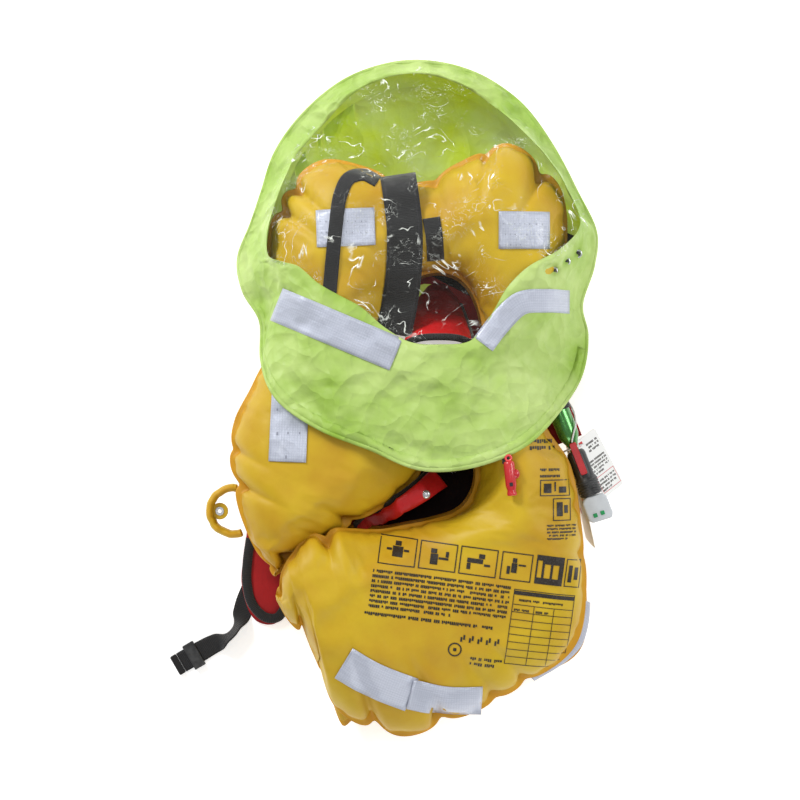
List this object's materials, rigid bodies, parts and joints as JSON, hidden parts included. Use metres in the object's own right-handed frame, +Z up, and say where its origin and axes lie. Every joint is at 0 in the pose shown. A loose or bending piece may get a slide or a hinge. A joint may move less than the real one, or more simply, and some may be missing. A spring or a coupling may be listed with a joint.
{
  "type": "inflatable life jacket",
  "caption": "Inflated horseshoe life jacket lying on its back, with neck cushion, long chest lobe, spray hood with clear window, gas inflator, whistle and harness straps.",
  "frame": {"origin": "on the floor, under the middle of the whole jacket as it lies on its back", "axes": "+X to the right as seen from above, +Y towards the head end and the hood, +Z up from the floor to the front of the jacket"},
  "size_m": [0.6032, 0.8852, 0.2136],
  "materials": {
    "chamber_fabric": "coated cloth, satin",
    "hood_fabric": "thin coated cloth, matt",
    "clear_film": "clear wrinkled film",
    "cover_fabric": "woven cloth, matt",
    "lining_fabric": "mesh lining, matt",
    "webbing": "woven webbing",
    "reflective_tape": "silver honeycomb reflective tape",
    "black_plastic": "moulded, satin",
    "red_plastic": "moulded, glossy",
    "grey_plastic": "moulded, satin",
    "green_sight": "glossy indicator",
    "cylinder_paint": "green lacquer over steel",
    "bright_steel": "plated",
    "white_cord": "braided",
    "printed_card": "coated card"
  },
  "bodies": {
    "jacket": {"outer_chamber": "chamber_fabric", "inner_chamber": "chamber_fabric", "back_strap": "webbing", "neck_pad": "webbing", "neck_tape_left": "reflective_tape", "neck_tape_right": "reflective_tape", "lobe_tape_left": "reflective_tape", "lobe_tape_low_left": "reflective_tape", "lobe_tape_low_right": "reflective_tape", "lifting_loop": "webbing", "side_tape": "reflective_tape", "cover_left": "cover_fabric", "cover_right": "cover_fabric", "cover_yoke": "cover_fabric", "cover_lining_right": "lining_fabric", "cover_lining_yoke": "lining_fabric", "cover_lining_left": "lining_fabric", "cover_binding": "webbing", "cover_fold": "cover_fabric", "press_stud": "bright_steel", "collar_flap": "cover_fabric", "collar_binding": "webbing", "waist_belt_left": "webbing", "buckle_socket": "black_plastic", "inflator_body": "black_plastic", "manifold_stem": "black_plastic", "cylinder_band": "webbing", "cylinder_flap": "cover_fabric", "pull_cord": "white_cord", "card_loop": "white_cord", "whistle_keeper": "black_plastic", "oral_tube": "black_plastic", "side_loop": "chamber_fabric", "eyelet_tab": "chamber_fabric", "eyelet": "bright_steel", "hood_back": "hood_fabric", "hood_stay_right": "webbing", "hood_stay_left": "webbing"},
    "hood": {"hood_front": "hood_fabric", "hood_window": "clear_film", "hood_hem": "hood_fabric", "hood_tape_left": "reflective_tape", "hood_tape_right": "reflective_tape"},
    "whistle": {"whistle": "red_plastic"},
    "cylinder": {"gas_cylinder": "cylinder_paint"},
    "lever": {"manual_lever": "red_plastic"},
    "head": {"sensing_head": "grey_plastic", "status_sight_left": "green_sight", "status_sight_right": "green_sight"},
    "card_front": {"service_card_front": "printed_card"},
    "card_back": {"service_card_back": "printed_card"},
    "oral_cap": {"oral_cap": "red_plastic"},
    "buckle_right": {"buckle_tongue": "black_plastic", "waist_belt_right": "webbing"},
    "strap_tail": {"crotch_strap": "webbing", "strap_end": "webbing"},
    "slider": {"strap_slider": "black_plastic"}
  },
  "joints": [
    {"name": "hood_raise", "type": "hinge", "parent": "jacket", "child": "hood", "pos_m": [0.02099, 0.44264, 0.064], "axis": [-1, 0, 0], "range_deg": [0, 35]},
    {"name": "whistle_swing", "type": "hinge", "parent": "jacket", "child": "whistle", "pos_m": [0.14499, -0.07653, 0.20226], "axis": [0, 0, 1], "range_deg": [-12, 12]},
    {"name": "cylinder_turn", "type": "hinge", "parent": "jacket", "child": "cylinder", "pos_m": [0.26999, -0.15953, 0.117], "axis": [-0.3663, 0.9305, 0], "continuous": true},
    {"name": "lever_pull", "type": "hinge", "parent": "jacket", "child": "lever", "pos_m": [0.24662, -0.10017, 0.1314], "axis": [0.9305, 0.3663, 0], "range_deg": [0, 80]},
    {"name": "head_turn", "type": "hinge", "parent": "jacket", "child": "head", "pos_m": [0.26999, -0.15953, 0.117], "axis": [-0.3663, 0.9305, 0], "range_deg": [0, 45]},
    {"name": "card_front_swing", "type": "hinge", "parent": "jacket", "child": "card_front", "pos_m": [0.24243, -0.06248, 0.1004], "axis": [0.658, 0.259, 0.7071], "range_deg": [0, 14]},
    {"name": "card_back_swing", "type": "hinge", "parent": "jacket", "child": "card_back", "pos_m": [0.23321, -0.06611, 0.0963], "axis": [-0.953, -0.2689, 0.1395], "range_deg": [0, 10]},
    {"name": "oral_cap_pull", "type": "slide", "parent": "jacket", "child": "oral_cap", "axis": [-0.4078, 0.9131, 0], "range_m": [0, 0.009]},
    {"name": "buckle_release", "type": "slide", "parent": "jacket", "child": "buckle_right", "axis": [1, 0, 0], "range_m": [0, 0.03]},
    {"name": "strap_tail_swing", "type": "hinge", "parent": "jacket", "child": "strap_tail", "pos_m": [-0.18401, -0.24053, 0.0009], "axis": [0, 0, 1], "range_deg": [-8, 8]},
    {"name": "slider_travel", "type": "slide", "parent": "strap_tail", "child": "slider", "axis": [0.8648, 0.5021, 0], "range_m": [0, 0.025]}
  ]
}
